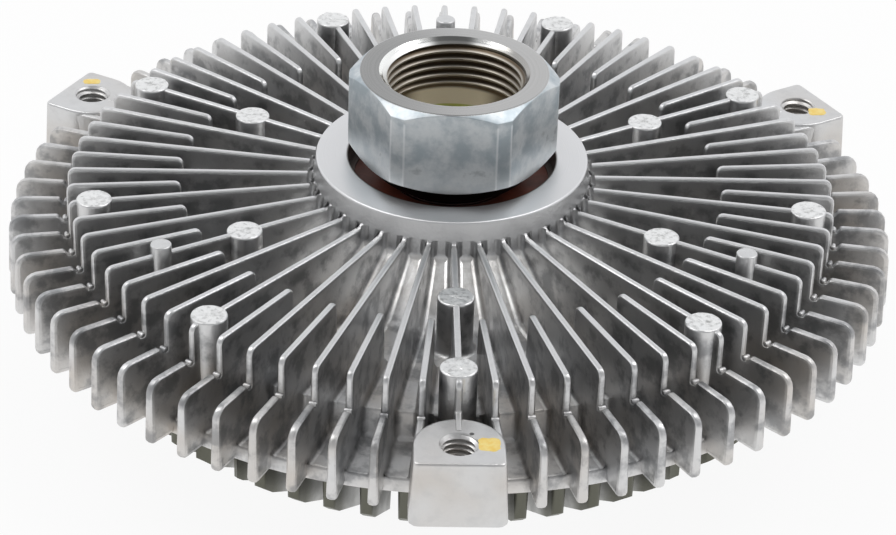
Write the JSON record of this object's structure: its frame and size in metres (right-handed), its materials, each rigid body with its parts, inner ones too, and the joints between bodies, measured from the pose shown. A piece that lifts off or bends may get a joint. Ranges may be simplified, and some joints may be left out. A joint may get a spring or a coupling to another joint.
{
  "type": "viscous fan clutch",
  "caption": "Thermostatic viscous coupling with a finned die-cast body that drives an engine's cooling fan from a hexagon nut on its shaft.",
  "frame": {"origin": "on the shaft's axis, in the plane of the three ears' faces where the fan bolts on", "axes": "+Z along the shaft to the engine, out of the drive nut's mouth; -Y to one of the three ears, which is the one nearest the camera"},
  "size_m": [0.1504, 0.1551, 0.0604],
  "materials": {
    "die_cast_aluminium": "satin, as cast",
    "zinc_plated_steel": "zinc plated, turned",
    "bearing_steel": "ground",
    "bearing_cage_plastic": "moulded",
    "seal_rubber_red": "matte",
    "seal_rubber_black": "matte",
    "rotor_aluminium": "turned",
    "zinc_steel_sheet": "pressed sheet",
    "valve_steel": "ground",
    "bimetal_strip": "rolled strip",
    "dam_plastic": "moulded",
    "plug_steel": "drawn"
  },
  "bodies": {
    "clutch_housing": {"housing_body": "die_cast_aluminium", "front_cover": "die_cast_aluminium", "cover_seal_ring": "seal_rubber_black", "cover_screws": "zinc_plated_steel", "partition_plate": "zinc_steel_sheet", "partition_rivets": "zinc_steel_sheet", "pump_dam": "dam_plastic", "fill_plug": "plug_steel", "bearing_outer_ring": "bearing_steel", "bearing_seal_upper": "seal_rubber_red", "bearing_seal_lower": "seal_rubber_red", "valve_shaft_seal": "seal_rubber_black", "bimetal_coil": "bimetal_strip"},
    "drive_shaft": {"drive_hub": "zinc_plated_steel", "bearing_inner_ring": "bearing_steel", "rotor_disc": "rotor_aluminium"},
    "ball_cage": {"bearing_balls": "bearing_steel", "bearing_cage": "bearing_cage_plastic"},
    "valve": {"valve_shaft": "valve_steel", "valve_arm": "zinc_steel_sheet", "valve_retaining_ring": "valve_steel"}
  },
  "joints": [
    {"name": "shaft_spin", "type": "hinge", "parent": "clutch_housing", "child": "drive_shaft", "pos_m": [0, 0, 0], "axis": [0, 0, 1], "continuous": true},
    {"name": "cage_spin", "type": "hinge", "parent": "clutch_housing", "child": "ball_cage", "pos_m": [0, 0, 0], "axis": [0, 0, 1], "continuous": true},
    {"name": "valve_turn", "type": "hinge", "parent": "clutch_housing", "child": "valve", "pos_m": [0, 0, 0], "axis": [0, 0, 1], "range_deg": [0, 40], "stiffness_Nm_per_rad": 0.02, "deforming": ["bimetal_coil"]}
  ],
  "couplings": [
    {"joint": "cage_spin", "follows": "shaft_spin", "ratio": 0.384}
  ]
}
